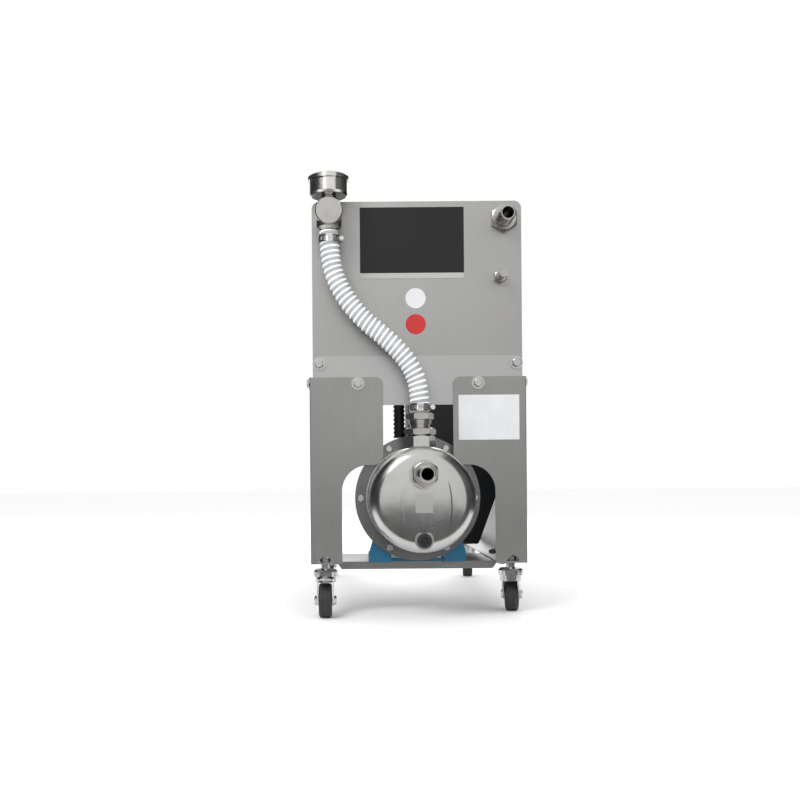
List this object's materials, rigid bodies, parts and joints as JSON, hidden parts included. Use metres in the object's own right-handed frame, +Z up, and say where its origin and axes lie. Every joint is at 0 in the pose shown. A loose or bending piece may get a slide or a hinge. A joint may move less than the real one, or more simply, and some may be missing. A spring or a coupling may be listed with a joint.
{
  "type": "shallow well jet pump",
  "caption": "Self-priming jet pump in a wheeled stainless frame, with a spiral hose up to a gauge block on the head plate, a delivery nipple and swivel casters",
  "frame": {"origin": "centre of the unit's bounding box at floor level", "axes": "+X right, +Y back (the pump faces -Y), +Z up"},
  "size_m": [0.374, 0.734, 0.7275],
  "materials": {
    "stainless_sheet": "satin brushed stainless sheet",
    "bolts": "bright stainless fasteners",
    "name_plate": "dark satin plate",
    "paper": "white printed film, left blank",
    "pressed_stainless": "pressed stainless with a soft sheen",
    "rubber": "black rubber",
    "turned_stainless": "turned stainless with fine rings",
    "bright_stainless": "polished stainless",
    "black_plastic": "black moulded plastic",
    "hose": "white spiral over a milky flexible wall",
    "glass": "clear lens",
    "dial": "white dial with black numbers",
    "blue_paint": "blue paint on cast aluminium",
    "motor_aluminium": "cast aluminium",
    "laminations": "steel laminations",
    "bearing_steel": "ground steel",
    "pump_plastic": "glass-filled plastic",
    "dark_grey_plastic": "dark grey moulded plastic",
    "black_enclosure": "blue-black enclosure",
    "zinc_chrome": "bright zinc plate",
    "wheel_rubber": "black rubber wheel"
  },
  "bodies": {
    "unit": {"apron_plate": "stainless_sheet", "bearings": "bearing_steel", "cable_gland": "black_plastic", "caster_stems": "zinc_chrome", "clamp_bolts": "bolts", "clamp_ring": "pressed_stainless", "control_box": "black_enclosure", "delivery_header": "turned_stainless", "diffuser": "pump_plastic", "drain_plug": "black_plastic", "ejector": "pump_plastic", "end_shield": "motor_aluminium", "fan_cover": "black_plastic", "foot": "blue_paint", "frame_bolts": "bolts", "gasket": "rubber", "gauge_bezel": "bright_stainless", "gauge_case": "bright_stainless", "gauge_dial": "dial", "gauge_lens": "glass", "head_plate": "stainless_sheet", "hose": "hose", "hose_clamps": "bright_stainless", "inlet_adapter": "turned_stainless", "inlet_block": "turned_stainless", "lantern": "blue_paint", "left_side_frame": "stainless_sheet", "lower_hose_tail": "turned_stainless", "motor_frame": "motor_aluminium", "name_plate": "name_plate", "outlet_locknut": "turned_stainless", "outlet_nipple": "turned_stainless", "paper_labels": "paper", "pump_body": "pressed_stainless", "pump_shelf": "stainless_sheet", "right_side_frame": "stainless_sheet", "seal_plate": "pressed_stainless", "shelf_bolts": "bolts", "stator": "laminations", "terminal_box": "dark_grey_plastic", "terminal_lid": "dark_grey_plastic", "union_nut": "turned_stainless", "upper_hose_tail": "turned_stainless", "vent_body": "turned_stainless"},
    "rotor": {"motor_rotor": "laminations", "impeller": "pump_plastic", "fan": "black_plastic"},
    "pointer": {"gauge_pointer": "black_plastic"},
    "vent": {"vent_knob": "turned_stainless"},
    "rocker": {"switch_rocker": "black_plastic"},
    "front_left_swivel": {"front_left_fork": "zinc_chrome"},
    "front_left_roller": {"front_left_wheel": "wheel_rubber"},
    "front_right_swivel": {"front_right_fork": "zinc_chrome"},
    "front_right_roller": {"front_right_wheel": "wheel_rubber"},
    "rear_left_swivel": {"rear_left_fork": "zinc_chrome"},
    "rear_left_roller": {"rear_left_wheel": "wheel_rubber"},
    "rear_right_swivel": {"rear_right_fork": "zinc_chrome"},
    "rear_right_roller": {"rear_right_wheel": "wheel_rubber"},
    "front_left_brake": {"front_left_brake_lever": "zinc_chrome"},
    "front_right_brake": {"front_right_brake_lever": "zinc_chrome"}
  },
  "joints": [
    {"name": "motor_spin", "type": "hinge", "parent": "unit", "child": "rotor", "pos_m": [0, -0.06695, 0.198], "axis": [0, 1, 0], "continuous": true},
    {"name": "gauge_needle", "type": "hinge", "parent": "unit", "child": "pointer", "pos_m": [-0.147, -0.24895, 0.7185], "axis": [0, 0, -1], "range_deg": [0, 270]},
    {"name": "vent_turn", "type": "hinge", "parent": "unit", "child": "vent", "pos_m": [0.14, -0.23695, 0.569], "axis": [0, -1, 0], "range_deg": [0, 360]},
    {"name": "switch_rock", "type": "hinge", "parent": "unit", "child": "rocker", "pos_m": [0.116, 0.03605, 0.215], "axis": [1, 0, 0], "range_deg": [-10, 10]},
    {"name": "front_left_swivel", "type": "hinge", "parent": "unit", "child": "front_left_swivel", "pos_m": [-0.158, -0.19195, 0.066], "axis": [0, 0, 1], "continuous": true},
    {"name": "front_left_roll", "type": "hinge", "parent": "front_left_swivel", "child": "front_left_roller", "pos_m": [-0.158, -0.22195, 0.0285], "axis": [-1, 0, 0], "continuous": true},
    {"name": "front_left_brake", "type": "hinge", "parent": "front_left_swivel", "child": "front_left_brake", "pos_m": [-0.158, -0.21795, 0.061], "axis": [1, 0, 0], "range_deg": [0, 15]},
    {"name": "front_right_swivel", "type": "hinge", "parent": "unit", "child": "front_right_swivel", "pos_m": [0.158, -0.19195, 0.066], "axis": [0, 0, 1], "continuous": true},
    {"name": "front_right_roll", "type": "hinge", "parent": "front_right_swivel", "child": "front_right_roller", "pos_m": [0.16576, -0.16297, 0.0285], "axis": [0.9659, -0.2588, 0], "continuous": true},
    {"name": "front_right_brake", "type": "hinge", "parent": "front_right_swivel", "child": "front_right_brake", "pos_m": [0.16473, -0.16684, 0.061], "axis": [-0.9659, 0.2588, 0], "range_deg": [0, 15]},
    {"name": "rear_left_swivel", "type": "hinge", "parent": "unit", "child": "rear_left_swivel", "pos_m": [-0.158, 0.30805, 0.066], "axis": [0, 0, 1], "continuous": true},
    {"name": "rear_left_roll", "type": "hinge", "parent": "rear_left_swivel", "child": "rear_left_roller", "pos_m": [-0.158, 0.33805, 0.0285], "axis": [1, 0, 0], "continuous": true},
    {"name": "rear_right_swivel", "type": "hinge", "parent": "unit", "child": "rear_right_swivel", "pos_m": [0.158, 0.30805, 0.066], "axis": [0, 0, 1], "continuous": true},
    {"name": "rear_right_roll", "type": "hinge", "parent": "rear_right_swivel", "child": "rear_right_roller", "pos_m": [0.16218, 0.33776, 0.0285], "axis": [0.9903, -0.1392, 0], "continuous": true}
  ]
}
